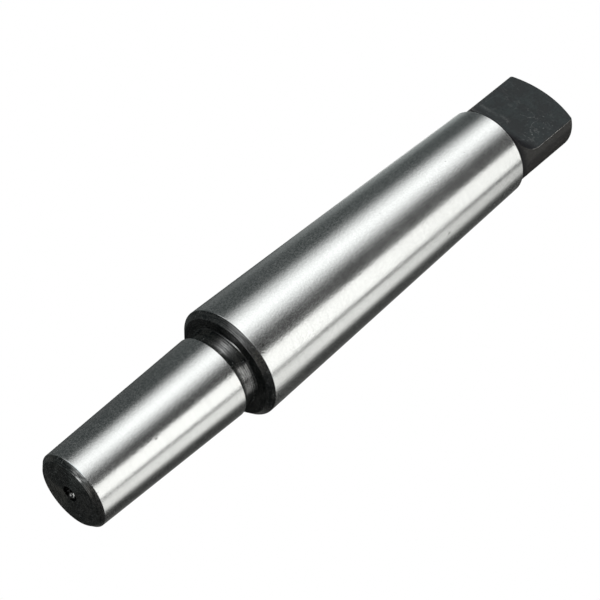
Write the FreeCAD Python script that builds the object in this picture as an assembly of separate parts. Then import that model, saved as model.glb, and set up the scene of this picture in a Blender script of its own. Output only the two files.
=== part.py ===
# Drill chuck arbor, turned, milled and ground from one bar of steel.
# It has a short taper for the chuck, a narrow neck, a long self-holding taper for the spindle
# and a flat driving tang.
# Millimetres. The origin is the centre of the small flat end, on which the arbor stands.
# +Z runs along the axis towards the tang, and the tang's flats face +Y and -Y.

import FreeCAD, Part
import math
import os

# Short taper for the chuck, size B18
chuck_gauge_diameter = 17.780
chuck_gauge_inset = 5.0
chuck_taper_rate = 0.04995
chuck_taper_length = 37.0
small_end_chamfer = 1.0
chuck_taper_edge_round = 0.3

# Turned neck between the two tapers
neck_diameter = 16.6
neck_length = 3.7
neck_straight_length = 1.2
neck_sweep_radius = 14.0
neck_root_round = 0.25

# Long taper for the spindle, size 3, measured from its large end
spindle_gauge_diameter = 23.825
spindle_gauge_inset = 5.0
spindle_taper_rate = 1 / 19.922
shoulder_chamfer = 1.2
shank_length = 99.0
spindle_taper_edge_round = 0.6

# Driving tang
tang_length = 20.0
tang_diameter = 18.5
tang_thickness = 7.9
tang_runout_radius = 7.0
tang_root_land = 0.2
tang_dome_radius = 22.0
tang_rim_round = 0.6

# Centre holes in both ends
centre_mouth_diameter = 3.35
centre_pilot_diameter = 1.6
centre_pilot_depth = 2.0
centre_cone_angle = 60.0
centre_point_angle = 118.0

# How far the milling cuts run past the metal
cut_overrun = 5.0

# Heights of the seams along the axis
shoulder_height = chuck_taper_length + neck_length
spindle_taper_height = shoulder_height + shoulder_chamfer
tip_height = spindle_taper_height + shank_length
tang_root_height = tip_height - tang_length


def taper_radius(gauge_diameter, rate, past_gauge):
    """Radius of a taper at a distance past its gauge plane, towards the small end."""
    return (gauge_diameter - rate * past_gauge) / 2


def point(radius, height):
    """A point of a turned outline."""
    return FreeCAD.Vector(radius, 0, height)


def rounding(before, corner, after, radius):
    """The start, middle and end of the arc that rounds the corner of two straight lines."""
    back = (before - corner).normalize()
    ahead = (after - corner).normalize()
    half_angle = back.getAngle(ahead) / 2
    setback = radius / math.tan(half_angle)
    bisector = (back + ahead).normalize()
    middle = corner + bisector * (radius / math.sin(half_angle) - radius)
    return corner + back * setback, middle, corner + ahead * setback


def straight_outline(corners):
    """Edges through the corners, each given as (radius, height, rounding)."""
    points = [point(radius, height) for radius, height, _ in corners]
    edges = []
    start = points[0]
    for index in range(1, len(points) - 1):
        corner_round = corners[index][2]
        if corner_round:
            first, middle, last = rounding(*points[index - 1:index + 2], corner_round)
            edges.append(Part.LineSegment(start, first).toShape())
            edges.append(Part.Arc(first, middle, last).toShape())
            start = last
        else:
            edges.append(Part.LineSegment(start, points[index]).toShape())
            start = points[index]
    edges.append(Part.LineSegment(start, points[-1]).toShape())
    return edges


def turned(edges):
    """The solid that a closed outline sweeps round the axis."""
    face = Part.Face(Part.Wire(edges))
    return face.revolve(FreeCAD.Vector(0, 0, 0), FreeCAD.Vector(0, 0, 1), 360)


def centre_hole(face_height, inward):
    """Corners of a centre hole, from its mouth to its point, for a face at a height."""
    mouth_radius = centre_mouth_diameter / 2
    pilot_radius = centre_pilot_diameter / 2
    cone_depth = (mouth_radius - pilot_radius) / math.tan(math.radians(centre_cone_angle / 2))
    pilot_end = cone_depth + centre_pilot_depth
    point_end = pilot_end + pilot_radius / math.tan(math.radians(centre_point_angle / 2))
    return [
        (mouth_radius, face_height, 0),
        (pilot_radius, face_height + inward * cone_depth, 0),
        (pilot_radius, face_height + inward * pilot_end, 0),
        (0, face_height + inward * point_end, 0),
    ]


def on_circle(centre, radius, angle):
    """A point of a circle in the plane of the outline."""
    return centre + point(radius * math.cos(angle), radius * math.sin(angle))


def neck_sweep():
    """The neck's sweep out to the shoulder and its root round: where they start, their edges, and where they end."""
    start = point(neck_diameter / 2, chuck_taper_length + neck_straight_length)
    sweep_centre = start + point(neck_sweep_radius, 0)
    reach = neck_sweep_radius - neck_root_round
    rise = math.asin((shoulder_height - neck_root_round - start.z) / reach)
    root_angle = math.pi - rise
    root_centre = on_circle(sweep_centre, reach, root_angle)
    sweep_middle = on_circle(sweep_centre, neck_sweep_radius, math.pi - rise / 2)
    root_start = on_circle(sweep_centre, neck_sweep_radius, root_angle)
    root_middle = on_circle(root_centre, neck_root_round, (root_angle + math.pi / 2) / 2)
    root_end = on_circle(root_centre, neck_root_round, math.pi / 2)
    edges = [
        Part.Arc(start, sweep_middle, root_start).toShape(),
        Part.Arc(root_start, root_middle, root_end).toShape(),
    ]
    return start, edges, root_end


def domed_end():
    """The tang's rounded rim and dome: where they start, their edges, and the mouth of the hole."""
    dome_centre = point(0, tip_height - tang_dome_radius)
    rim_centre_radius = tang_diameter / 2 - tang_rim_round
    rim_centre_lift = math.sqrt((tang_dome_radius - tang_rim_round) ** 2 - rim_centre_radius ** 2)
    rim_centre = dome_centre + point(rim_centre_radius, rim_centre_lift)
    rim_angle = math.atan2(rim_centre_lift, rim_centre_radius)
    mouth_angle = math.acos(centre_mouth_diameter / 2 / tang_dome_radius)
    rim_start = on_circle(rim_centre, tang_rim_round, 0)
    rim_middle = on_circle(rim_centre, tang_rim_round, rim_angle / 2)
    rim_end = on_circle(rim_centre, tang_rim_round, rim_angle)
    dome_middle = on_circle(dome_centre, tang_dome_radius, (rim_angle + mouth_angle) / 2)
    mouth = on_circle(dome_centre, tang_dome_radius, mouth_angle)
    edges = [
        Part.Arc(rim_start, rim_middle, rim_end).toShape(),
        Part.Arc(rim_end, dome_middle, mouth).toShape(),
    ]
    return rim_start, edges, mouth


def turned_body():
    """The whole arbor as it leaves the lathe, with its centre holes and no flats."""
    chuck_large = taper_radius(chuck_gauge_diameter, chuck_taper_rate, -chuck_gauge_inset)
    chuck_small = taper_radius(chuck_gauge_diameter, chuck_taper_rate,
                               chuck_taper_length - chuck_gauge_inset - small_end_chamfer)
    spindle_large = taper_radius(spindle_gauge_diameter, spindle_taper_rate, -spindle_gauge_inset)
    spindle_small = taper_radius(spindle_gauge_diameter, spindle_taper_rate,
                                 shank_length - tang_length - spindle_gauge_inset)
    sweep_start, neck_edges, root_end = neck_sweep()
    rim_start, dome_edges, mouth = domed_end()
    lower_hole = centre_hole(0, 1)
    upper_hole = centre_hole(mouth.z, -1)
    below_sweep = [
        (chuck_small - small_end_chamfer, 0, 0),
        (chuck_small, small_end_chamfer, 0),
        (chuck_large, chuck_taper_length, chuck_taper_edge_round),
        (sweep_start.x, chuck_taper_length, 0),
        (sweep_start.x, sweep_start.z, 0),
    ]
    above_sweep = [
        (root_end.x, root_end.z, 0),
        (spindle_large - shoulder_chamfer, shoulder_height, 0),
        (spindle_large, spindle_taper_height, 0),
        (spindle_small, tang_root_height, spindle_taper_edge_round),
        (tang_diameter / 2, tang_root_height, 0),
        (rim_start.x, rim_start.z, 0),
    ]
    edges = straight_outline(lower_hole[::-1] + below_sweep)
    edges += neck_edges
    edges += straight_outline(above_sweep)
    edges += dome_edges
    edges += straight_outline(upper_hole + [lower_hole[-1]])
    return turned(edges)


def flat_cut():
    """The metal milled off the +Y side of the tang, with the cutter's run-out at its root."""
    half_thickness = tang_thickness / 2
    depth = min(tang_diameter / 2 - half_thickness, tang_runout_radius)
    runout_length = math.sqrt(tang_runout_radius ** 2 - (tang_runout_radius - depth) ** 2)
    flat_start = tang_root_height + tang_root_land + runout_length
    runout_y = half_thickness + tang_runout_radius
    runout_z = flat_start - tang_runout_radius
    reach = max(tang_diameter / 2, runout_y) + cut_overrun
    top = tip_height + cut_overrun
    diagonal = tang_runout_radius * math.sqrt(0.5)

    def at(y, z):
        return FreeCAD.Vector(-reach, y, z)

    runout_middle = at(runout_y - diagonal, flat_start - diagonal)
    outline = [
        Part.LineSegment(at(half_thickness, top), at(half_thickness, flat_start)).toShape(),
        Part.Arc(at(half_thickness, flat_start), runout_middle, at(runout_y, runout_z)).toShape(),
        Part.LineSegment(at(runout_y, runout_z), at(reach, runout_z)).toShape(),
        Part.LineSegment(at(reach, runout_z), at(reach, top)).toShape(),
        Part.LineSegment(at(reach, top), at(half_thickness, top)).toShape(),
    ]
    return Part.Face(Part.Wire(outline)).extrude(FreeCAD.Vector(2 * reach, 0, 0))


def opposite(shape):
    """The shape turned half way round the axis."""
    other_side = shape.copy()
    other_side.rotate(FreeCAD.Vector(0, 0, 0), FreeCAD.Vector(0, 0, 1), 180)
    return other_side


def arbor():
    """The finished arbor."""
    flat = flat_cut()
    return turned_body().cut([flat, opposite(flat)])


def save(name, shape):
    """Writes one solid to its own file."""
    solid = shape.Solids[0]
    solid.exportStep(f"parts/{name}.step")
    print(name, "volume", round(solid.Volume, 1), "valid", solid.isValid(), "solids", len(shape.Solids))


os.makedirs("parts", exist_ok=True)
save("arbor", arbor())
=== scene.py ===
# Looks of the drill chuck arbor: one turned, milled and ground piece of steel.
from math import atan2, cos, pi, radians, sin, sqrt, tan
import bpy
from mathutils import Matrix, Vector


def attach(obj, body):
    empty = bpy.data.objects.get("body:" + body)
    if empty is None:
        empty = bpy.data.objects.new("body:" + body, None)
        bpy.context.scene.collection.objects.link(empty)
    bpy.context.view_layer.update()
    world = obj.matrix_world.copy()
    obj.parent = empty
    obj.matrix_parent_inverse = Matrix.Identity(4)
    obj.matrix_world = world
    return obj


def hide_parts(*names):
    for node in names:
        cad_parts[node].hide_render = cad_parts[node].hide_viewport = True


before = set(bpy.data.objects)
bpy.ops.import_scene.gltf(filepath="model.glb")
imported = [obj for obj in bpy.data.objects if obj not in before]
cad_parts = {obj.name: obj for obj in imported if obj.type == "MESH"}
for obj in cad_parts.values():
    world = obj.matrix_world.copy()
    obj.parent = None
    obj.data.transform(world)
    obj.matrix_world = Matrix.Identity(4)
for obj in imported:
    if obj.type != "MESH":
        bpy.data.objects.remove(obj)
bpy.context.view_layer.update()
mm = 0.001
print("frame loaded")


# The arbor's sizes, in millimetres, as in the part's own source
arbor = {
    "segments": 192,
    "chuckGauge": 17.780,
    "chuckRate": 0.04995,
    "chuckLength": 37.0,
    "endChamfer": 1.0,
    "neckDiameter": 16.6,
    "neckLength": 3.7,
    "neckHollow": 14.0,        # radius of the neck's sweep out towards the shoulder
    "neckStraight": 1.2,       # how much of the neck is straight before it
    "neckRings": 8,
    "shoulderChamfer": 1.2,
    "spindleGauge": 23.825,
    "spindleRate": 1 / 19.922,
    "gaugeInset": 5.0,
    "shankLength": 99.0,
    "tangLength": 20.0,
    "tangDiameter": 18.5,
    "tangThickness": 7.9,
    "runoutRadius": 7.0,
    "rootLand": 0.2,
    "domeRadius": 22.0,
    "domeRings": 14,
    "holeMouth": 3.35,
    "holePilot": 1.6,
    "holePilotDepth": 2.0,
    "chuckEdgeRound": 0.3,
    "neckRootRound": 0.25,
    "spindleEdgeRound": 0.6,
    "rimRound": 0.6,
    "sharpEdgeRound": 0.10,     # the burr broken off every other turned edge
    "tangEdgeRound": 0.2,      # the worn arris round the tang's flats
}

shoulderZ = arbor["chuckLength"] + arbor["neckLength"]
spindleZ = shoulderZ + arbor["shoulderChamfer"]
tipZ = spindleZ + arbor["shankLength"]
rootZ = tipZ - arbor["tangLength"]
chuckLargeR = (arbor["chuckGauge"] + arbor["chuckRate"] * arbor["gaugeInset"]) / 2
chuckSmallR = chuckLargeR - arbor["chuckRate"] / 2 * (arbor["chuckLength"] - arbor["endChamfer"])
spindleLargeR = (arbor["spindleGauge"] + arbor["spindleRate"] * arbor["gaugeInset"]) / 2
spindleSmallR = spindleLargeR - arbor["spindleRate"] / 2 * (rootZ - spindleZ)
neckR = arbor["neckDiameter"] / 2
sweepZ = arbor["chuckLength"] + arbor["neckStraight"]
tangR = arbor["tangDiameter"] / 2
mouthR = arbor["holeMouth"] / 2
pilotR = arbor["holePilot"] / 2
mouthDepth = (mouthR - pilotR) / tan(radians(30))
pilotEnd = mouthDepth + arbor["holePilotDepth"]
pointEnd = pilotEnd + pilotR / tan(radians(59))


def neckRadius(height):
    rise = max(height - sweepZ, 0)
    return neckR + arbor["neckHollow"] - sqrt(arbor["neckHollow"] ** 2 - rise ** 2)


def domeHeight(radius):
    return tipZ - arbor["domeRadius"] + sqrt(arbor["domeRadius"] ** 2 - radius ** 2)


def turnedStations():
    # heights and radii of every ring, from the pilot of the lower centre hole to that of the upper
    mouthZ = domeHeight(mouthR)
    steps = arbor["neckRings"]
    neckHeights = [sweepZ + (shoulderZ - sweepZ) * step / steps for step in range(steps + 1)]
    rings = [
        (mouthDepth, pilotR),
        (0, mouthR),
        (0, chuckSmallR - arbor["endChamfer"]),
        (arbor["endChamfer"], chuckSmallR),
        (arbor["chuckLength"], chuckLargeR),
        (arbor["chuckLength"], neckR),
        *[(height, neckRadius(height)) for height in neckHeights],
        (shoulderZ, spindleLargeR - arbor["shoulderChamfer"]),
        (spindleZ, spindleLargeR),
        (rootZ, spindleSmallR),
        (rootZ, tangR),
    ]
    for step in range(arbor["domeRings"] + 1):
        radius = tangR + (mouthR - tangR) * step / arbor["domeRings"]
        rings.append((domeHeight(radius), radius))
    rings.append((mouthZ - mouthDepth, pilotR))
    rings.append((mouthZ - pilotEnd, pilotR))
    return rings


def deselectAll():
    bpy.ops.object.select_all(action="DESELECT")


def selectEdges(piece, test):
    # leaves edit mode with only the edges selected whose both ends pass the test
    bpy.ops.mesh.select_all(action="DESELECT")
    bpy.ops.mesh.select_mode(type="EDGE")
    bpy.ops.object.mode_set(mode="OBJECT")
    points = piece.data.vertices
    for edge in piece.data.edges:
        edge.select = all(test(points[i].co) for i in edge.vertices)
    bpy.ops.object.mode_set(mode="EDIT")


def onRing(height, radius):
    def test(place):
        level = abs(place.z - height * mm) < 0.01 * mm
        return level and abs(Vector((place.x, place.y)).length - radius * mm) < 0.01 * mm
    return test


def turnArbor():
    # a ring is drawn out along the axis, as an outline is turned on a lathe
    deselectAll()
    bpy.ops.mesh.primitive_circle_add(vertices=arbor["segments"], radius=pilotR * mm,
                                      location=(0, 0, pilotEnd * mm), fill_type="NOTHING")
    piece = bpy.context.active_object
    piece.name = "arborBody"
    bpy.ops.object.transform_apply(location=True)
    bpy.ops.object.mode_set(mode="EDIT")
    bpy.ops.mesh.select_all(action="SELECT")
    height, radius = pilotEnd, pilotR
    for nextHeight, nextRadius in turnedStations():
        bpy.ops.mesh.extrude_region_move(
            TRANSFORM_OT_translate={"value": (0, 0, (nextHeight - height) * mm)})
        ratio = nextRadius / radius
        bpy.ops.transform.resize(value=(ratio, ratio, 1), center_override=(0, 0, nextHeight * mm))
        height, radius = nextHeight, nextRadius
    closePilot(piece, height, height - (pointEnd - pilotEnd))
    closePilot(piece, pilotEnd, pointEnd)
    bpy.ops.mesh.select_all(action="SELECT")
    bpy.ops.mesh.normals_make_consistent(inside=False)
    return piece


def closePilot(piece, ringHeight, pointHeight):
    # the drill's point at the bottom of a centre hole
    selectEdges(piece, onRing(ringHeight, pilotR))
    bpy.ops.mesh.extrude_region_move(
        TRANSFORM_OT_translate={"value": (0, 0, (pointHeight - ringHeight) * mm)})
    bpy.ops.mesh.merge(type="COLLAPSE")


def roundTurnedEdges(piece):
    rounds = [
        (arbor["chuckLength"], chuckLargeR, arbor["chuckEdgeRound"], 4),
        (shoulderZ, neckRadius(shoulderZ), arbor["neckRootRound"], 6),
        (rootZ, spindleSmallR, arbor["spindleEdgeRound"], 6),
        (domeHeight(tangR), tangR, arbor["rimRound"] * 0.64, 6),
        (0, chuckSmallR - arbor["endChamfer"], arbor["sharpEdgeRound"], 2),
        (arbor["endChamfer"], chuckSmallR, arbor["sharpEdgeRound"], 2),
        (shoulderZ, spindleLargeR - arbor["shoulderChamfer"], arbor["sharpEdgeRound"], 2),
        (spindleZ, spindleLargeR, arbor["sharpEdgeRound"], 2),
        (0, mouthR, arbor["sharpEdgeRound"], 2),
        (domeHeight(mouthR), mouthR, arbor["sharpEdgeRound"], 2),
    ]
    for height, radius, width, segments in rounds:
        selectEdges(piece, onRing(height, radius))
        bpy.ops.mesh.bevel(offset=width * mm, offset_type="OFFSET", segments=segments, affect="EDGES")


def flatCutter():
    # the milling cutter's path on one side of the tang, then its copy on the other side
    half = arbor["tangThickness"] / 2
    drop = sqrt(arbor["runoutRadius"] ** 2 - (arbor["runoutRadius"] - (tangR - half)) ** 2)
    flatStart = rootZ + arbor["rootLand"] + drop
    bottom = flatStart - arbor["runoutRadius"]
    top = tipZ + 5
    outer = half + arbor["runoutRadius"] + 5
    deselectAll()
    bpy.ops.mesh.primitive_cube_add(size=1, location=(0, (half + outer) / 2 * mm, (bottom + top) / 2 * mm))
    cutter = bpy.context.active_object
    cutter.scale = (30 * mm, (outer - half) * mm, (top - bottom) * mm)
    bpy.ops.object.transform_apply(location=True, rotation=False, scale=True)
    bpy.ops.object.mode_set(mode="EDIT")
    selectEdges(cutter, lambda place: place.y < (half + 0.1) * mm and place.z < (bottom + 0.1) * mm)
    bpy.ops.mesh.bevel(offset=arbor["runoutRadius"] * mm, segments=40, affect="EDGES")
    bpy.ops.mesh.select_all(action="SELECT")
    bpy.ops.mesh.duplicate()
    bpy.ops.transform.rotate(value=pi, orient_axis="Z", center_override=(0, 0, 0))
    bpy.ops.object.mode_set(mode="OBJECT")
    return cutter


def millTang(piece):
    cutter = flatCutter()
    deselectAll()
    piece.select_set(True)
    bpy.context.view_layer.objects.active = piece
    milling = piece.modifiers.new("tangFlats", "BOOLEAN")
    milling.operation = "DIFFERENCE"
    milling.solver = "EXACT"
    milling.object = cutter
    bpy.ops.object.modifier_apply(modifier=milling.name)
    bpy.data.objects.remove(cutter)


def wearTangEdges(piece):
    # every arris of the milled flats is rubbed round, and shows bright metal in places
    bpy.ops.object.mode_set(mode="EDIT")
    bpy.ops.mesh.select_mode(type="EDGE")
    bpy.ops.mesh.select_all(action="DESELECT")
    bpy.ops.mesh.edges_select_sharp(sharpness=radians(25))
    bpy.ops.object.mode_set(mode="OBJECT")
    points = piece.data.vertices
    half = arbor["tangThickness"] / 2 * mm
    for edge in piece.data.edges:
        ends = [points[i].co for i in edge.vertices]
        above = all(end.z > (rootZ + 0.1) * mm for end in ends)
        outside = all(abs(end.y) > half - 0.01 * mm for end in ends)
        edge.select = edge.select and above and outside
    bpy.ops.object.mode_set(mode="EDIT")
    bpy.ops.mesh.bevel(offset=arbor["tangEdgeRound"] * mm, segments=3, affect="EDGES", clamp_overlap=True)
    bpy.ops.object.mode_set(mode="OBJECT")
    worn = piece.data.attributes.new("worn", "BOOLEAN", "FACE")
    for face, mark in zip(piece.data.polygons, worn.data):
        mark.value = face.select


def mapTurning(piece):
    # the first direction of the map runs along the axis and the second round it
    layer = piece.data.uv_layers.new(name="turning")
    points = piece.data.vertices
    for face in piece.data.polygons:
        middle = atan2(face.center.y, face.center.x)
        for loop in face.loop_indices:
            place = points[piece.data.loops[loop].vertex_index].co
            turn = atan2(place.y, place.x) - middle
            turn = (turn + pi) % (2 * pi) - pi + middle
            layer.data[loop].uv = (place.z / (tipZ * mm), turn / (2 * pi))


def finishArbor(piece):
    bpy.ops.object.mode_set(mode="EDIT")
    bpy.ops.mesh.select_mode(type="VERT")
    bpy.ops.mesh.select_all(action="SELECT")
    bpy.ops.mesh.remove_doubles(threshold=0.001 * mm)
    bpy.ops.mesh.normals_make_consistent(inside=False)
    bpy.ops.object.mode_set(mode="OBJECT")
    bpy.ops.object.shade_smooth_by_angle(angle=radians(30))
    weighting = piece.modifiers.new("evenShading", "WEIGHTED_NORMAL")
    weighting.keep_sharp = True
    weighting.weight = 50
    bpy.ops.object.modifier_apply(modifier=weighting.name)
    mapTurning(piece)


def zoneOf(face, worn):
    # which finish a face has, by its place
    height = face.center.z / mm
    radius = Vector((face.center.x, face.center.y)).length / mm
    edge = arbor["sharpEdgeRound"]
    if worn:
        return "worn"
    if radius < mouthR + edge / 2:
        return "hole"
    onChuck = arbor["endChamfer"] - edge * 0.8 < height < arbor["chuckLength"] - 0.02
    endOfGround = rootZ - arbor["spindleEdgeRound"] * 0.75
    onSpindle = spindleZ - edge * 0.8 < height < endOfGround
    if onChuck and radius > chuckSmallR - edge or onSpindle:
        return "ground"
    if height > endOfGround:
        return "tang"
    return "turned"


arborBody = turnArbor()
roundTurnedEdges(arborBody)
bpy.ops.object.mode_set(mode="OBJECT")
print("arbor turned:", len(arborBody.data.polygons), "faces")
millTang(arborBody)
print("tang milled:", len(arborBody.data.polygons), "faces")
wearTangEdges(arborBody)
finishArbor(arborBody)
print("arbor finished:", len(arborBody.data.polygons), "faces")


# Small helpers for the finishes
def startFinish(name):
    finish = bpy.data.materials.new(name)
    finish.use_nodes = True
    return finish, finish.node_tree, finish.node_tree.nodes["Principled BSDF"]


def feed(tree, socket, value):
    # a socket takes a plain value, or a wire from another node
    if isinstance(value, bpy.types.NodeSocket):
        tree.links.new(value, socket)
    elif value is not None:
        socket.default_value = value


def calculate(tree, operation, first, second=None, third=None):
    node = tree.nodes.new("ShaderNodeMath")
    node.operation = operation
    for socket, value in zip(node.inputs, (first, second, third)):
        feed(tree, socket, value)
    return node.outputs[0]


def spread(tree, value, fromLow, fromHigh, toLow=0.0, toHigh=1.0):
    # moves a value from one range to another, held at both ends
    node = tree.nodes.new("ShaderNodeMapRange")
    node.interpolation_type = "SMOOTHSTEP"
    feed(tree, node.inputs["Value"], value)
    feed(tree, node.inputs["From Min"], fromLow)
    feed(tree, node.inputs["From Max"], fromHigh)
    feed(tree, node.inputs["To Min"], toLow)
    feed(tree, node.inputs["To Max"], toHigh)
    return node.outputs["Result"]


def within(tree, value, low, high, soft):
    # 1 between two values and 0 outside them, over soft edges
    comesIn = spread(tree, value, low - soft, low + soft)
    goesOut = spread(tree, value, high - soft, high + soft, 1.0, 0.0)
    return calculate(tree, "MULTIPLY", comesIn, goesOut)


def multiply(tree, *values):
    product = values[0]
    for value in values[1:]:
        product = calculate(tree, "MULTIPLY", product, value)
    return product


def placeOnArbor(tree):
    # where a point lies: its coordinates in metres, its distance from the axis, its angle in degrees
    place = tree.nodes.new("ShaderNodeTexCoord").outputs["Object"]
    parts = tree.nodes.new("ShaderNodeSeparateXYZ")
    tree.links.new(place, parts.inputs["Vector"])
    x, y, z = parts.outputs
    squares = calculate(tree, "MULTIPLY_ADD", y, y, calculate(tree, "MULTIPLY", x, x))
    turn = calculate(tree, "ARCTAN2", y, x)
    return {"place": place, "x": x, "y": y, "z": z,
            "radius": calculate(tree, "SQRT", squares),
            "angle": calculate(tree, "DEGREES", turn)}


def blendColours(tree, share, first, second, mode="MIX"):
    node = tree.nodes.new("ShaderNodeMix")
    node.data_type = "RGBA"
    node.blend_type = mode
    feed(tree, node.inputs[0], share)
    feed(tree, node.inputs[6], first)
    feed(tree, node.inputs[7], second)
    return node.outputs[2]


def grain(tree, place, stretch, scale, detail=2.0, roughness=0.5, swirl=0.0):
    # noise whose grains are drawn out by the three stretches
    mapping = tree.nodes.new("ShaderNodeMapping")
    mapping.inputs["Scale"].default_value = stretch
    tree.links.new(place, mapping.inputs["Vector"])
    noise = tree.nodes.new("ShaderNodeTexNoise")
    noise.inputs["Scale"].default_value = scale
    noise.inputs["Detail"].default_value = detail
    noise.inputs["Roughness"].default_value = roughness
    noise.inputs["Distortion"].default_value = swirl
    tree.links.new(mapping.outputs["Vector"], noise.inputs["Vector"])
    return noise.outputs["Fac"]


def turningLines(tree, at, along, perRadian, perMetre, detail=2.0):
    # noise drawn out round the axis, as a lathe tool leaves it
    join = tree.nodes.new("ShaderNodeCombineXYZ")
    tree.links.new(calculate(tree, "DIVIDE", at["x"], at["radius"]), join.inputs["X"])
    tree.links.new(calculate(tree, "DIVIDE", at["y"], at["radius"]), join.inputs["Y"])
    tree.links.new(calculate(tree, "MULTIPLY", along, perMetre / perRadian), join.inputs["Z"])
    return grain(tree, join.outputs["Vector"], (1, 1, 1), perRadian, detail, 0.55)


def relief(tree, height, depth, below=None):
    # bump of a depth in metres, on top of another bump
    bump = tree.nodes.new("ShaderNodeBump")
    bump.inputs["Strength"].default_value = 1.0
    bump.inputs["Distance"].default_value = depth
    tree.links.new(height, bump.inputs["Height"])
    feed(tree, bump.inputs["Normal"], below)
    return bump.outputs["Normal"]


def tangentAlongAxis(tree, shader):
    # grinding and turning lines run round, so highlights are drawn out along the axis
    tangent = tree.nodes.new("ShaderNodeTangent")
    tangent.direction_type = "UV_MAP"
    tangent.uv_map = "turning"
    tree.links.new(tangent.outputs["Tangent"], shader.inputs["Tangent"])


# Both tapers: cylindrically ground and left bright
groundFinish = {
    "colour": (0.705, 0.712, 0.705, 1),
    "lineColour": (0.670, 0.677, 0.670, 1),
    "roughness": 0.225,
    "roughnessChange": 0.03,
    "anisotropy": 0.4,
    "lineDepth": 0.0000006,
    "grainScale": 1900,
    "grainDepth": 0.000022,
    "mottleScale": 2700,
    "mottle": (0.15, 0.22),    # how strong the darker grains are, on the short and the long taper
    "duller": 0.10,            # how much duller the short taper is ground
    "longFrom": (0.0371, 0.0373),    # heights where the long taper's values take over, in metres
    "haze": 0.065,             # share of plain scatter in the palest grains
    "mottleColour": (0.4, 0.4, 0.4, 1),
    "pit": (0.16, 0.16, 0.155, 1),
    # pale colour of the painted highlight on the arris by the end's chamfer
    "arris": (0.66, 0.72, 0.74, 1),
    "dents": [(-19.5, 0.0953), (-52, 0.0163)],      # single nicks, by angle and height
    "dentReach": (1, 0.0003),    # half a dent's width in degrees, and half its height
    "nickHeights": (0.0430, 0.0458),
    "nickAngles": (-64, -57),
    # the painted highlight lies below this height and between these angles
    "arrisGlintTop": 0.00107,
    "arrisGlintAngles": (-102, -74),
    "lineScale": 90,
    "patchScale": 60,
    "spotScale": 1500,
}


def groundSteel():
    finish, tree, shader = startFinish("groundSteel")
    at = placeOnArbor(tree)
    lines = grain(tree, at["place"], (1, 1, 70), groundFinish["lineScale"], 3, 0.6)
    flecks = grain(tree, at["place"], (1, 1, 1.7), groundFinish["grainScale"], 2, 0.6)
    patches = grain(tree, at["place"], (1, 1, 1), groundFinish["patchScale"], 3, 0.55)
    spots = grain(tree, at["place"], (1, 1, 1), groundFinish["spotScale"], 1, 0.4)
    lineShare = spread(tree, lines, 0.42, 0.68)
    tone = blendColours(tree, lineShare, groundFinish["colour"], groundFinish["lineColour"])
    # a few small pits, mostly near the long taper's large end
    pitted = multiply(tree, spread(tree, spots, 0.76, 0.80),
                      spread(tree, patches, 0.5, 0.6), 0.8)
    nicks = multiply(tree, spread(tree, spots, 0.57, 0.62), 0.8,
                     within(tree, at["z"], *groundFinish["nickHeights"], 0.0006),
                     within(tree, at["angle"], *groundFinish["nickAngles"], 2))
    wide, tall = groundFinish["dentReach"]
    for angle, height in groundFinish["dents"]:
        dent = multiply(tree, within(tree, at["angle"], angle - wide, angle + wide, 0.7), 0.75,
                        within(tree, at["z"], height - tall, height + tall, tall / 2))
        nicks = calculate(tree, "MAXIMUM", nicks, dent)
    pitted = calculate(tree, "MAXIMUM", pitted, nicks)
    tone = blendColours(tree, pitted, tone, groundFinish["pit"])
    mottle = grain(tree, at["place"], (1, 1, 1), groundFinish["mottleScale"], 1, 0.5)
    mottle = spread(tree, mottle, 0.34, 0.66)
    strength = spread(tree, at["z"], *groundFinish["longFrom"], *groundFinish["mottle"])
    tone = blendColours(tree, multiply(tree, mottle, strength),
                        tone, groundFinish["mottleColour"])
    duller = spread(tree, at["z"], *groundFinish["longFrom"], groundFinish["duller"], 0.0)
    tone = blendColours(tree, duller, tone, groundFinish["mottleColour"])
    # painted highlight: the arris by the end's chamfer is painted pale and less metallic on the side where
    # the light catches it
    arris = multiply(tree, calculate(tree, "LESS_THAN", at["z"], groundFinish["arrisGlintTop"]), 0.8,
                     within(tree, at["angle"], *groundFinish["arrisGlintAngles"], 6))
    tone = blendColours(tree, arris, tone, groundFinish["arris"])
    tree.links.new(tone, shader.inputs["Base Color"])
    haze = multiply(tree, calculate(tree, "SUBTRACT", 1.0, mottle), groundFinish["haze"])
    metal = calculate(tree, "SUBTRACT", 1.0, haze)
    tree.links.new(calculate(tree, "MULTIPLY_ADD", arris, -0.7, metal), shader.inputs["Metallic"])
    shader.inputs["Anisotropic"].default_value = groundFinish["anisotropy"]
    low = groundFinish["roughness"] - groundFinish["roughnessChange"]
    high = groundFinish["roughness"] + groundFinish["roughnessChange"]
    tree.links.new(spread(tree, patches, 0.35, 0.65, low, high), shader.inputs["Roughness"])
    normal = relief(tree, lines, groundFinish["lineDepth"])
    normal = relief(tree, flecks, groundFinish["grainDepth"], normal)
    tree.links.new(normal, shader.inputs["Normal"])
    tangentAlongAxis(tree, shader)
    return finish


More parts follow.
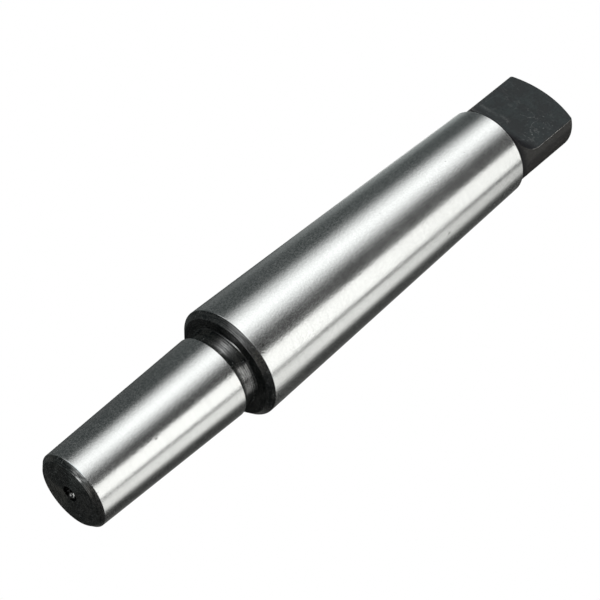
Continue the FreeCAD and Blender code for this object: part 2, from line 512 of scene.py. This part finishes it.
# End face, chamfers, neck and shoulder: turned and left black from the heat treatment
turnedFinish = {
    "colour": (0.0020, 0.0034, 0.0036, 1),
    "rust": (0.0205, 0.0215, 0.0198, 1),
    "scratch": (0.090, 0.096, 0.094, 1),
    # tones of the painted sheen on the end and on the chamfers
    "coolSheenColour": (0.080, 0.098, 0.094, 1),
    "warmSheenColour": (0.100, 0.094, 0.080, 1),
    # bare metal, for the wear on the end's chamfer and for the painted glints there and along the neck's root
    "bare": (0.80, 0.81, 0.80, 1),
    # near-black colour of the painted shade
    "paintedShade": (0.0020, 0.0022, 0.0024, 1),
    "ior": 2.1,
    "roughness": 0.2,
    "anisotropy": 0.4,
    "feed": 0.00048,
    "lineDepth": 0.000005,
    "rootRadii": (0.00872, 0.00880),    # the neck ends and the shoulder's face begins between these
    # the end's chamfer is worn bright over these angles, which also makes a painted glint
    "wornGlintAngles": (-90, -66),    # where the end's chamfer is rubbed bright, in degrees
    "dashAngles": (-80, -70),
    "bareRim": (0.00716, 0.00736),    # radii, in metres
    "streakRadii": (0.00716, 0.0080),
    "endTop": 0.0012,    # the end face and its chamfer lie below this height
    "faceTop": (0.0002, 0.0003),
    "arcRadii": (0.0046, 0.0071),
    # sides of the end where the painted sheen lies, in degrees
    "coolSheenAngles": (-98, -60),
    "warmSheenAngles": (98, 165),
    "endChamferFrom": (0.00708, 0.00716),
    "shoulderChamferFrom": (0.01084, 0.01092),
    "shoulderTop": 0.0420,
    "chamferSheenAngles": [(-165, -125), (-62, -40)],    # on the end's chamfer, and on both
    "rootHeights": (0.04056, 0.04067),
    "glintAngles": (-84, -72),
    # where the painted shade on the shoulder's face lies
    "shadeHeights": (0.04058, 0.04066),
    "shadeRadii": (0.01072, 0.01084),
    "cornerHeights": (0.0368, 0.0379),
    "dullBandHeights": (0.04022, 0.04046),
    "dimmedHeights": (0.04010, 0.04064),
    "dimmedFrom": (-52, -44),    # degrees
    "neckHeights": (0.0372, 0.0406),
    "fadingAngles": (-32, -14),
    # the neck's highlights fall between these angles, and the rest of the neck is made less glossy, as
    # painted shade
    "highlightAngles": [(-97, -79), (-59, 60)],    # the two stretches of the neck that are still glossy
    "lineScales": (2.4, 1700),    # grains per radian round the axis, and per metre along
    "strokeScales": (6.0, 2600),
    "stainScale": 380,
    "fineScale": 1900,
    "scratchScales": (800, 700),
}


def blackTurned():
    finish, tree, shader = startFinish("blackTurned")
    at = placeOnArbor(tree)
    along = calculate(tree, "ADD", at["radius"], at["z"])
    lines = turningLines(tree, at, along, *turnedFinish["lineScales"], 3)
    strokes = turningLines(tree, at, along, *turnedFinish["strokeScales"], 2)
    phase = calculate(tree, "MULTIPLY_ADD", lines, 4.0,
                      calculate(tree, "MULTIPLY", along, 2 * pi / turnedFinish["feed"]))
    ring = calculate(tree, "MULTIPLY_ADD", calculate(tree, "SINE", phase), 0.5, 0.5)
    stains = grain(tree, at["place"], (1, 1, 1), turnedFinish["stainScale"], 3, 0.6)
    fine = grain(tree, at["place"], (1, 1, 1), turnedFinish["fineScale"], 2, 0.6)
    scratches = grain(tree, at["place"], (4, 1, 1), turnedFinish["scratchScales"][0], 2, 0.5)
    crossed = grain(tree, at["place"], (1, 5, 1), turnedFinish["scratchScales"][1], 2, 0.5)
    scratches = calculate(tree, "MAXIMUM", scratches, crossed)
    mottle = calculate(tree, "MULTIPLY_ADD", fine, 0.24, calculate(tree, "MULTIPLY", stains, 0.4))
    mottle = calculate(tree, "MULTIPLY_ADD", lines, 0.36, mottle)
    colour = blendColours(tree, spread(tree, mottle, 0.41, 0.61),
                          turnedFinish["colour"], turnedFinish["rust"])
    # arcs of the facing cut show near the rim of the end face
    arcs = multiply(tree, spread(tree, strokes, 0.58, 0.68), 0.45,
                    spread(tree, at["z"], *turnedFinish["faceTop"], 1.0, 0.0),
                    within(tree, at["radius"], *turnedFinish["arcRadii"], 0.0006))
    scratched = multiply(tree, spread(tree, scratches, 0.64, 0.72), 0.6)
    scratched = calculate(tree, "MAXIMUM", scratched, arcs)
    colour = blendColours(tree, scratched, colour, turnedFinish["scratch"])
    # painted sheen: one side of the end face and its chamfer is painted a paler, cooler tone
    low = calculate(tree, "LESS_THAN", at["z"], turnedFinish["endTop"])
    coolSheen = multiply(tree, low, within(tree, at["angle"], *turnedFinish["coolSheenAngles"], 10),
                       spread(tree, mottle, 0.40, 0.58, 0.07, 0.27))
    colour = blendColours(tree, coolSheen, colour, turnedFinish["coolSheenColour"])
    # painted sheen: the opposite side is painted a paler, warmer tone
    warmSheen = multiply(tree, low, within(tree, at["angle"], *turnedFinish["warmSheenAngles"], 12),
                       spread(tree, mottle, 0.40, 0.58, 0.11, 0.28))
    colour = blendColours(tree, warmSheen, colour, turnedFinish["warmSheenColour"])
    # painted sheen: both chamfers are painted paler than the faces that they frame, on the sides where the
    # light catches them
    bevels = calculate(tree, "MAXIMUM",
                       multiply(tree, low, spread(tree, at["radius"], *turnedFinish["endChamferFrom"])),
                       multiply(tree, spread(tree, at["radius"], *turnedFinish["shoulderChamferFrom"]),
                                calculate(tree, "LESS_THAN", at["z"], turnedFinish["shoulderTop"])))
    onEnd, onBoth = turnedFinish["chamferSheenAngles"]
    chamferSheenAt = calculate(tree, "MAXIMUM", multiply(tree, low, within(tree, at["angle"], *onEnd, 12), 0.11),
                       multiply(tree, within(tree, at["angle"], *onBoth, 8), 0.27))
    chamferSheen = multiply(tree, bevels, chamferSheenAt, spread(tree, fine, 0.36, 0.60, 0.4, 1.5))
    colour = blendColours(tree, chamferSheen, colour, turnedFinish["warmSheenColour"])
    # the end's chamfer is rubbed in streaks, and bare by its inner arris: real wear, kept to the side where
    # the light falls, so that it is also a painted glint
    side = within(tree, at["angle"], *turnedFinish["wornGlintAngles"], 5)
    rim = within(tree, at["radius"], *turnedFinish["bareRim"], 0.00006)
    streaks = multiply(tree, spread(tree, strokes, 0.50, 0.62), 0.22,
                       within(tree, at["radius"], *turnedFinish["streakRadii"], 0.00006))
    dash = multiply(tree, rim, spread(tree, fine, 0.38, 0.50),
                    within(tree, at["angle"], *turnedFinish["dashAngles"], 3))
    bare = multiply(tree, side, low, calculate(tree, "MAXIMUM", dash, streaks))
    # a glint along the corner of neck and shoulder
    inside = spread(tree, at["radius"], *turnedFinish["rootRadii"], 1.0, 0.0)
    inCorner = multiply(tree, within(tree, at["z"], *turnedFinish["rootHeights"], 0.00002), inside)
    glint = within(tree, at["angle"], *turnedFinish["glintAngles"], 6)
    bare = calculate(tree, "MAXIMUM", bare, multiply(tree, inCorner, glint))
    # painted shade: the shoulder's face, shaded by the neck, is painted darker and made less glossy
    shoulderShade = multiply(tree, spread(tree, at["z"], *turnedFinish["shadeHeights"]),
                     spread(tree, at["radius"], *turnedFinish["shadeRadii"], 1.0, 0.0), 0.42)
    colour = blendColours(tree, shoulderShade, colour, turnedFinish["paintedShade"])
    # the bare colour carries real wear and the painted glints
    tree.links.new(blendColours(tree, bare, colour, turnedFinish["bare"]), shader.inputs["Base Color"])
    tree.links.new(multiply(tree, bare, 0.4), shader.inputs["Metallic"])
    shader.inputs["IOR"].default_value = turnedFinish["ior"]
    shader.inputs["Anisotropic"].default_value = turnedFinish["anisotropy"]
    # the neck is made less glossy in the corner behind the short taper, so that it shows darker there
    corner = within(tree, at["z"], *turnedFinish["cornerHeights"], 0.0002)
    dull = calculate(tree, "MAXIMUM", multiply(tree, corner, 0.85), shoulderShade)
    # a band just below the shoulder is made less glossy, so that it shows darker
    dullBand = within(tree, at["z"], *turnedFinish["dullBandHeights"], 0.00006)
    dull = calculate(tree, "MAXIMUM", dull, multiply(tree, dullBand, 0.8))
    # painted shade: on one side, the neck just below the shoulder is made less glossy, dimming its highlight
    dimmedBelowShoulder = multiply(tree, within(tree, at["z"], *turnedFinish["dimmedHeights"], 0.00012), 0.75,
                     spread(tree, at["angle"], *turnedFinish["dimmedFrom"]))
    dull = calculate(tree, "MAXIMUM", dull, dimmedBelowShoulder)
    # painted shade: the neck keeps its gloss only in the two stretches where its highlights fall, and is made
    # less glossy elsewhere
    onNeck = multiply(tree, within(tree, at["z"], *turnedFinish["neckHeights"], 0.0001), inside)
    # painted shade: part of the second stretch is made a little less glossy, dimming its highlight
    fading = within(tree, at["angle"], *turnedFinish["fadingAngles"], 5)
    fading = calculate(tree, "MULTIPLY_ADD", fading, -0.28, 1.0)
    glossy = calculate(tree, "MAXIMUM", within(tree, at["angle"], *turnedFinish["highlightAngles"][0], 8),
                       multiply(tree, fading, within(tree, at["angle"], *turnedFinish["highlightAngles"][1], 8)))
    matt = multiply(tree, onNeck, calculate(tree, "SUBTRACT", 1.0, glossy), 0.9)
    gloss = calculate(tree, "MULTIPLY_ADD", ring, 0.26, 0.12)
    gloss = calculate(tree, "MULTIPLY_ADD", spread(tree, lines, 0.36, 0.64), 0.2, gloss)
    gloss = calculate(tree, "MULTIPLY_ADD", spread(tree, strokes, 0.36, 0.64), 0.34, gloss)
    gloss = multiply(tree, gloss, calculate(tree, "MULTIPLY_ADD", matt, -1.0, 1.0))
    gloss = calculate(tree, "MULTIPLY_ADD", matt, 0.09, gloss)
    gloss = multiply(tree, gloss, calculate(tree, "MULTIPLY_ADD", dull, -1.0, 1.0))
    tree.links.new(gloss, shader.inputs["Specular IOR Level"])
    rough = calculate(tree, "MULTIPLY_ADD", ring, -0.06, turnedFinish["roughness"] + 0.05)
    rough = calculate(tree, "MULTIPLY_ADD", stains, 0.14, calculate(tree, "SUBTRACT", rough, 0.07))
    tree.links.new(rough, shader.inputs["Roughness"])
    normal = relief(tree, ring, turnedFinish["lineDepth"])
    normal = relief(tree, fine, 0.000007, normal)
    tree.links.new(normal, shader.inputs["Normal"])
    tangentAlongAxis(tree, shader)
    return finish


# Centre holes: drilled bright metal, painted near-black in patches and towards the mouth as painted shade, so
# that only a small glint shows
holeFinish = {
    "colour": (0.50, 0.50, 0.49, 1),
    # near-black colour of the painted shade in the holes
    "paintedShade": (0.01, 0.01, 0.01, 1),
    "roughness": 0.16,
    "shadeRadii": (0.00125, 0.0015),
    "fineScale": 2400,
}


def drilledHole():
    finish, tree, shader = startFinish("drilledHole")
    at = placeOnArbor(tree)
    fine = grain(tree, at["place"], (1, 1, 1), holeFinish["fineScale"], 2, 0.6)
    # painted shade: random patches, and the countersink towards its mouth, are painted near-black
    share = spread(tree, fine, 0.36, 0.52)
    share = calculate(tree, "MAXIMUM", share, spread(tree, at["radius"], *holeFinish["shadeRadii"]))
    colour = blendColours(tree, share, holeFinish["colour"], holeFinish["paintedShade"])
    tree.links.new(colour, shader.inputs["Base Color"])
    shader.inputs["Metallic"].default_value = 1.0
    rough = calculate(tree, "MULTIPLY_ADD", fine, 0.2, holeFinish["roughness"] - 0.08)
    tree.links.new(rough, shader.inputs["Roughness"])
    tree.links.new(relief(tree, fine, 0.000004), shader.inputs["Normal"])
    return finish


# The tang: milled, then blackened, and duller than the turned places
tangFinish = {
    "colour": (0.0022, 0.0056, 0.0070, 1),
    "smudge": (0.0125, 0.0200, 0.0215, 1),
    "brown": (0.0190, 0.0165, 0.0140, 1),
    # pale colour of the painted highlights at the run-out
    "runoutGlint": (0.085, 0.088, 0.088, 1),
    "scratch": (0.17, 0.175, 0.175, 1),
    "runoutGlints": [(-0.0066, 0.1273, 0.0013, 0.62), (-0.0017, 0.1281, 0.0011, 0.55),
             (-0.0042, 0.1275, 0.0012, 0.3)],     # across, height, size and strength
    # near-black colour of the painted shade on the tang
    "paintedShade": (0.002, 0.002, 0.004, 1),
    "bare": (0.90, 0.88, 0.84, 1),
    "ior": 1.4,
    "roughness": 0.5,
    # painted shade in the corner at the tang's root
    "darkRoot": 0.0016,     # how far the dark corner at the tang's root reaches, in metres
    "scratchedX": (-0.0015, 0.0062),
    "scratchedZ": (0.1238, 0.1335),
    "speckedX": (0.0026, 0.0066),
    "speckedZ": (0.1284, 0.1350),
    # where the painted shade in the run-out lies
    "shadeX": (0.0012, 0.0090),
    "shadeZ": (0.1206, 0.1246),
    "shadeBeltAngles": (-14, -5),
    "cutRootZ": (0.1250, 0.1265),
    "bareFrom": (0.1246, 0.1258),    # the worn arrises shine from here
    "bareTo": (0.1338, 0.1360),    # and are duller from here
    "smudgeScale": 300,
    "swirlScale": 260,
    "lumpScale": 420,
    "fineScale": 2000,
    "dashScale": 1100,
}


def blackMilled(name, worn):
    finish, tree, shader = startFinish(name)
    at = placeOnArbor(tree)
    smudges = grain(tree, at["place"], (1, 1, 1), tangFinish["smudgeScale"], 4, 0.6)
    swirls = grain(tree, at["place"], (1, 1, 1), tangFinish["swirlScale"], 2, 0.5, 1.6)
    lumps = grain(tree, at["place"], (1, 1, 1), tangFinish["lumpScale"], 2, 0.5)
    fine = grain(tree, at["place"], (1, 1, 1), tangFinish["fineScale"], 2, 0.55)
    mottle = calculate(tree, "MULTIPLY_ADD", fine, 0.35, calculate(tree, "MULTIPLY", smudges, 0.65))
    colour = blendColours(tree, spread(tree, mottle, 0.42, 0.62),
                          tangFinish["colour"], tangFinish["smudge"])
    half = arbor["tangThickness"] / 2 * mm
    away = calculate(tree, "ABSOLUTE", at["y"])
    # the round sides are browner, down to where the cutter ran out
    fromSide = calculate(tree, "SUBTRACT", tangR * mm, at["radius"])
    onSide = spread(tree, fromSide, 0.00006, 0.00012, 1.0, 0.0)
    inRunout = multiply(tree, spread(tree, away, half + 0.0004, half + 0.0022), 0.7)
    browner = calculate(tree, "MAXIMUM", onSide, inRunout)
    colour = blendColours(tree, multiply(tree, browner, 0.85), colour, tangFinish["brown"])
    # fine curved scratches and specks, most of them on one corner of the flat
    curve = calculate(tree, "ABSOLUTE", calculate(tree, "SUBTRACT", swirls, 0.5))
    middle = multiply(tree, within(tree, at["x"], *tangFinish["scratchedX"], 0.0015),
                      within(tree, at["z"], *tangFinish["scratchedZ"], 0.002))
    share = calculate(tree, "MULTIPLY_ADD", middle, 0.7, 0.3)
    scratched = multiply(tree, spread(tree, curve, 0.006, 0.024, 1.0, 0.0),
                         spread(tree, lumps, 0.44, 0.56), share, 0.32)
    specks = multiply(tree, spread(tree, fine, 0.645, 0.70), 0.8,
                      within(tree, at["x"], *tangFinish["speckedX"], 0.0012),
                      within(tree, at["z"], *tangFinish["speckedZ"], 0.0012))
    marks = calculate(tree, "MAXIMUM", scratched, specks)
    colour = blendColours(tree, marks, colour, tangFinish["scratch"])
    # painted highlights where the cutter's run-out begins, and painted shade in the run-out beside them
    for across, height, size, strength in tangFinish["runoutGlints"]:
        runoutGlint = multiply(tree, strength,
                       within(tree, at["x"], across - size, across + size, size * 0.6),
                       within(tree, at["z"], height - size * 0.25, height + size * 0.25, size * 0.35),
                       spread(tree, fine, 0.36, 0.6, 0.5, 1.0))
        colour = blendColours(tree, runoutGlint, colour, tangFinish["runoutGlint"])
    slant = calculate(tree, "MULTIPLY_ADD", at["x"], -0.22, at["z"])
    paintedShade = multiply(tree,
                    within(tree, slant, *tangFinish["shadeZ"], 0.0014),
                    within(tree, at["x"], *tangFinish["shadeX"], 0.0018),
                    spread(tree, fromSide, 0.00003, 0.00008))
    # painted shade: darker towards the tang's root, in the corner under the long taper
    root = spread(tree, at["z"], (rootZ + 0.1) * mm, rootZ * mm + tangFinish["darkRoot"] * 2, 0.85, 0.0)
    shade = calculate(tree, "MAXIMUM", multiply(tree, paintedShade, 0.9), root)
    # painted shade: a darker belt on the round sides, where their reflection dips
    belt = multiply(tree, onSide, within(tree, at["angle"], *tangFinish["shadeBeltAngles"], 3), 0.30)
    shade = calculate(tree, "MAXIMUM", shade, belt)
    # painted shade: a darker line where the run-out rises from the flats
    cutRoot = multiply(tree, within(tree, at["z"], *tangFinish["cutRootZ"], 0.0005), 0.35,
                       spread(tree, away, half + 0.0002, half + 0.0005))
    shade = calculate(tree, "MAXIMUM", shade, cutRoot)
    colour = blendColours(tree, shade, colour, tangFinish["paintedShade"])
    if worn:
        dashes = grain(tree, at["place"], (0.6, 0.6, 1), tangFinish["dashScale"], 2, 0.6)
        reach = multiply(tree, spread(tree, at["z"], *tangFinish["bareFrom"]),
                         spread(tree, at["z"], *tangFinish["bareTo"], 1.0, 0.5))
        bare = multiply(tree, spread(tree, dashes, 0.30, 0.44, 0.2, 1.0), reach)
        colour = blendColours(tree, bare, colour, tangFinish["bare"])
        tree.links.new(multiply(tree, bare, 0.1), shader.inputs["Metallic"])
    tree.links.new(colour, shader.inputs["Base Color"])
    shader.inputs["IOR"].default_value = tangFinish["ior"]
    # the painted shade also lowers the gloss
    gloss = calculate(tree, "MULTIPLY_ADD", shade, -0.4, 0.5)
    tree.links.new(gloss, shader.inputs["Specular IOR Level"])
    rough = calculate(tree, "MULTIPLY_ADD", smudges, 0.24, tangFinish["roughness"] - 0.12)
    tree.links.new(rough, shader.inputs["Roughness"])
    tree.links.new(relief(tree, fine, 0.000010), shader.inputs["Normal"])
    return finish


finishes = {
    "ground": groundSteel(),
    "turned": blackTurned(),
    "hole": drilledHole(),
    "tang": blackMilled("blackMilled", False),
    "worn": blackMilled("wornEdge", True),
}
arborBody.data.materials.clear()
for finish in finishes.values():
    arborBody.data.materials.append(finish)
zoneNumbers = {name: number for number, name in enumerate(finishes)}
wornMarks = [mark.value for mark in arborBody.data.attributes["worn"].data]
for face, mark in zip(arborBody.data.polygons, wornMarks):
    face.material_index = zoneNumbers[zoneOf(face, mark)]
arborBody.data.attributes.remove(arborBody.data.attributes["worn"])
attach(arborBody, "root")
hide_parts("arbor")
print("finishes on")


# The studio: two soft boxes, with black and grey cards round them, and a plain pale floor.
# Azimuths are in degrees round the arbor, where the middle of a card's height stands.
# A card fades in and out over its soft edges, leans by so many degrees per unit of rise,
# and changes from its level to its high level over the two rises, or fades in over them.
studio = {
    "worldColour": (1.0, 1.0, 1.0, 1),
    "fillLevel": 0.45,
    "middle": 0.07,
    "lowest": -62,
    "highest": 68,
    "margin": 12,
    "tubDistance": 1.9,
    "tubTop": -0.2,
    "tubLevel": 0.045,
    "tubBottomLevel": 0.55,
    "tubGlow": (1.75, 1.1),     # the bottom brightens between these distances from the axis
    "floorSize": 6.0,
    "floorColour": (0.95, 0.95, 0.945, 1),
    "floorFade": (0.35, 1.2),   # the floor fades into the backdrop between these distances
    "cards": [
        {"name": "coolBox", "distance": 1.5, "azimuths": (-151.0, -60.3), "softness": (46, 44), "lean": -14.5,
         "levels": (1.62, 1.55), "rises": (0.6, 1.0), "tint": (0.985, 1.0, 0.995)},
        {"name": "warmBox", "distance": 1.5, "azimuths": (-41.0, 6), "softness": (3, 2), "lean": 9.5,
         "levels": (1.6, 1.3), "rises": (0.62, 1.0), "tint": (1.0, 1.0, 0.975), "lowest": -4},
        {"name": "boxRim", "distance": 1.3, "azimuths": (-1.1, 7.3), "softness": (1, 1), "lean": 24,
         "levels": (0.08, 0.08), "rises": (0, 1), "tint": (1.0, 1.0, 1.0), "lowest": -4},
        {"name": "paleCard", "distance": 1.45, "azimuths": (3, 70), "softness": (2, 2), "lean": 0,
         "levels": (1.15, 0.52), "rises": (0.68, 1.0), "tint": (1.0, 1.0, 0.972), "lowest": -4},
        {"name": "gapCard", "distance": 1.75, "azimuths": (-150, -26), "softness": (2, 2), "lean": 0,
         "levels": (0.070, 0.079), "rises": (0.4, 0.8), "tint": (1.0, 1.0, 0.99)},
        {"name": "rightCard", "distance": 1.35, "azimuths": (28.5, 142), "softness": (19, 32), "lean": 16,
         "levels": (0.034, 0.046), "rises": (0.4, 0.8), "tint": (0.98, 1.0, 0.96)},
        {"name": "rightGlow", "distance": 1.3, "azimuths": (66, 110), "softness": (26, 10), "lean": 0,
         "levels": (0.125, 0.10), "rises": (0.4, 0.8), "tint": (0.99, 1.0, 0.96), "lowest": -4},
        {"name": "leftCard", "distance": 1.7, "azimuths": (100, 250), "softness": (2, 40), "lean": 0,
         "levels": (0.072, 0.082), "rises": (0.4, 0.8), "tint": (0.88, 1.0, 1.0)},
        {"name": "dimBox", "distance": 1.6, "azimuths": (126, 178), "softness": (18, 28), "lean": 0,
         "levels": (0.085, 0.44), "rises": (0.48, 0.92), "tint": (0.93, 1.0, 0.99)},
        {"name": "rimBox", "distance": 1.25, "azimuths": (96, 140), "softness": (8, 8), "lean": 0,
         "levels": (1.3, 1.3), "rises": (0.64, 0.84), "tint": (0.98, 1.0, 0.98), "lowest": 25,
         "fadesIn": True},
        {"name": "backBox", "distance": 1.2, "azimuths": (202, 242), "softness": (14, 14), "lean": 0,
         "levels": (0.9, 0.9), "rises": (-0.02, -0.22), "tint": (0.98, 1.0, 1.0), "lowest": -36,
         "fadesIn": True},
    ],
}


def cardFinish(card):
    # an even glow that fades out towards the card's two upright edges
    finish = bpy.data.materials.new(card["name"])
    finish.use_nodes = True
    tree = finish.node_tree
    tree.nodes.clear()
    start, end = card["azimuths"]
    softStart, softEnd = card["softness"]
    half = radians((end - start) / 2)
    turned = tree.nodes.new("ShaderNodeVectorRotate")
    turned.rotation_type = "Z_AXIS"
    turned.inputs["Angle"].default_value = -radians((start + end) / 2)
    tree.links.new(tree.nodes.new("ShaderNodeTexCoord").outputs["Object"], turned.inputs["Vector"])
    parts = tree.nodes.new("ShaderNodeSeparateXYZ")
    tree.links.new(turned.outputs["Vector"], parts.inputs["Vector"])
    rise = calculate(tree, "DIVIDE", parts.outputs["Z"], card["distance"])
    angle = calculate(tree, "ARCTAN2", parts.outputs["Y"], parts.outputs["X"])
    held = calculate(tree, "MINIMUM", calculate(tree, "MAXIMUM", rise, 0.4), 1.1)
    leaning = calculate(tree, "SUBTRACT", held, 0.6)
    angle = calculate(tree, "MULTIPLY_ADD", leaning, -radians(card["lean"]), angle)
    comesIn = spread(tree, angle, -half, -half + radians(softStart))
    goesOut = spread(tree, angle, half - radians(softEnd), half, 1.0, 0.0)
    glow = tree.nodes.new("ShaderNodeEmission")
    glow.inputs["Color"].default_value = (*card["tint"], 1)
    tree.links.new(spread(tree, rise, *card["rises"], *card["levels"]), glow.inputs["Strength"])
    shows = calculate(tree, "MULTIPLY", comesIn, goesOut)
    if card.get("fadesIn"):
        shows = calculate(tree, "MULTIPLY", shows, spread(tree, rise, *card["rises"]))
    clear = tree.nodes.new("ShaderNodeBsdfTransparent")
    mix = tree.nodes.new("ShaderNodeMixShader")
    tree.links.new(shows, mix.inputs["Fac"])
    tree.links.new(clear.outputs["BSDF"], mix.inputs[1])
    tree.links.new(glow.outputs["Emission"], mix.inputs[2])
    output = tree.nodes.new("ShaderNodeOutputMaterial")
    tree.links.new(mix.outputs["Shader"], output.inputs["Surface"])
    return finish


def addCard(card):
    # one upright edge is drawn up, then spun round the arbor
    distance = card["distance"]
    low = studio["middle"] + distance * tan(radians(card.get("lowest", studio["lowest"])))
    high = studio["middle"] + distance * tan(radians(studio["highest"]))
    start = radians(card["azimuths"][0] - studio["margin"])
    sweep = radians(card["azimuths"][1] + studio["margin"]) - start
    deselectAll()
    bpy.ops.mesh.primitive_plane_add(size=0.1, location=(distance * cos(start), distance * sin(start), low))
    piece = bpy.context.active_object
    piece.name = card["name"]
    bpy.ops.object.transform_apply(location=True)
    bpy.ops.object.mode_set(mode="EDIT")
    bpy.ops.mesh.select_mode(type="VERT")
    bpy.ops.mesh.select_all(action="SELECT")
    bpy.ops.mesh.merge(type="CENTER")
    bpy.ops.mesh.extrude_region_move(TRANSFORM_OT_translate={"value": (0, 0, high - low)})
    bpy.ops.mesh.select_all(action="SELECT")
    bpy.ops.mesh.spin(steps=max(6, int(sweep / radians(3))), angle=-sweep, center=(0, 0, 0), axis=(0, 0, 1))
    bpy.ops.object.mode_set(mode="OBJECT")
    piece.data.materials.append(cardFinish(card))
    piece.visible_camera = False
    piece.visible_shadow = False
    piece.visible_transmission = False
    piece.visible_diffuse = card["levels"][0] > 1.2


def addTub():
    # dark all round below the arbor, where the cards end, and paler straight below
    deselectAll()
    bottom = studio["middle"] - studio["tubDistance"] * 2
    bpy.ops.mesh.primitive_circle_add(vertices=48, radius=studio["tubDistance"], location=(0, 0, bottom),
                                      fill_type="NGON")
    tub = bpy.context.active_object
    tub.name = "darkTub"
    bpy.ops.object.transform_apply(location=True)
    bpy.ops.object.mode_set(mode="EDIT")
    selectEdges(tub, lambda place: True)
    rise = studio["tubTop"] * studio["tubDistance"] - bottom
    bpy.ops.mesh.extrude_edges_move(TRANSFORM_OT_translate={"value": (0, 0, rise)})
    bpy.ops.object.mode_set(mode="OBJECT")
    finish = bpy.data.materials.new("darkTub")
    finish.use_nodes = True
    tree = finish.node_tree
    tree.nodes.clear()
    glow = tree.nodes.new("ShaderNodeEmission")
    at = placeOnArbor(tree)
    levels = studio["tubLevel"], studio["tubBottomLevel"]
    tree.links.new(spread(tree, at["radius"], *studio["tubGlow"], *levels), glow.inputs["Strength"])
    output = tree.nodes.new("ShaderNodeOutputMaterial")
    tree.links.new(glow.outputs["Emission"], output.inputs["Surface"])
    tub.data.materials.append(finish)
    tub.visible_camera = False
    tub.visible_diffuse = False
    tub.visible_shadow = False
    tub.visible_transmission = False


def addFloor():
    deselectAll()
    bpy.ops.mesh.primitive_plane_add(size=studio["floorSize"], location=(0, 0, -0.0001))
    floor = bpy.context.active_object
    floor.name = "paleFloor"
    finish, tree, shader = startFinish("paleFloor")
    shader.inputs["Base Color"].default_value = studio["floorColour"]
    shader.inputs["Roughness"].default_value = 0.9
    # seen from underneath, the floor is clear, as the photograph looks up past it
    clear = tree.nodes.new("ShaderNodeBsdfTransparent")
    mix = tree.nodes.new("ShaderNodeMixShader")
    at = placeOnArbor(tree)
    faded = spread(tree, at["radius"], *studio["floorFade"])
    under = tree.nodes.new("ShaderNodeNewGeometry").outputs["Backfacing"]
    tree.links.new(calculate(tree, "MAXIMUM", under, faded), mix.inputs["Fac"])
    tree.links.new(shader.outputs["BSDF"], mix.inputs[1])
    tree.links.new(clear.outputs["BSDF"], mix.inputs[2])
    tree.links.new(mix.outputs["Shader"], tree.nodes["Material Output"].inputs["Surface"])
    floor.data.materials.append(finish)
    floor.visible_glossy = False
    floor.visible_diffuse = False
    floor.visible_shadow = False
    floor.visible_transmission = False


def setWorld():
    world = bpy.data.worlds.new("studioWorld")
    bpy.context.scene.world = world
    world.use_nodes = True
    tree = world.node_tree
    tree.nodes.clear()
    rays = tree.nodes.new("ShaderNodeLightPath").outputs
    seen = calculate(tree, "MAXIMUM", rays["Is Camera Ray"], rays["Is Glossy Ray"])
    seen = calculate(tree, "MAXIMUM", seen, rays["Is Transmission Ray"])
    backdrop = tree.nodes.new("ShaderNodeBackground")
    backdrop.inputs["Color"].default_value = studio["worldColour"]
    fill = tree.nodes.new("ShaderNodeBackground")
    fill.inputs["Color"].default_value = studio["worldColour"]
    fill.inputs["Strength"].default_value = studio["fillLevel"]
    mix = tree.nodes.new("ShaderNodeMixShader")
    tree.links.new(seen, mix.inputs["Fac"])
    tree.links.new(fill.outputs["Background"], mix.inputs[1])
    tree.links.new(backdrop.outputs["Background"], mix.inputs[2])
    output = tree.nodes.new("ShaderNodeOutputWorld")
    tree.links.new(mix.outputs["Shader"], output.inputs["Surface"])


for card in studio["cards"]:
    addCard(card)
addTub()
addFloor()
setWorld()
print("studio set up")


# The photograph's camera, below the arbor's small end and to one side
camera = {
    "place": (0.130231, -0.303673, -0.131793),
    "right": (0.737349, -0.109224, 0.666624),
    "up": (-0.582842, -0.601735, 0.546087),
    "back": (0.341485, -0.791193, -0.507349),
    "lens": 117.49,
    "sensor": 36.0,
}


def addCamera():
    deselectAll()
    bpy.ops.object.camera_add(location=camera["place"])
    view = bpy.context.active_object
    view.name = "photoCamera"
    turn = Matrix((camera["right"], camera["up"], camera["back"])).transposed()
    view.rotation_euler = turn.to_euler()
    view.data.sensor_fit = "HORIZONTAL"
    view.data.sensor_width = camera["sensor"]
    view.data.lens = camera["lens"]
    view.data.clip_start = 0.01
    view.data.clip_end = 50
    bpy.context.scene.camera = view


addCamera()
bpy.context.scene.view_settings.view_transform = "Standard"
print("camera placed")
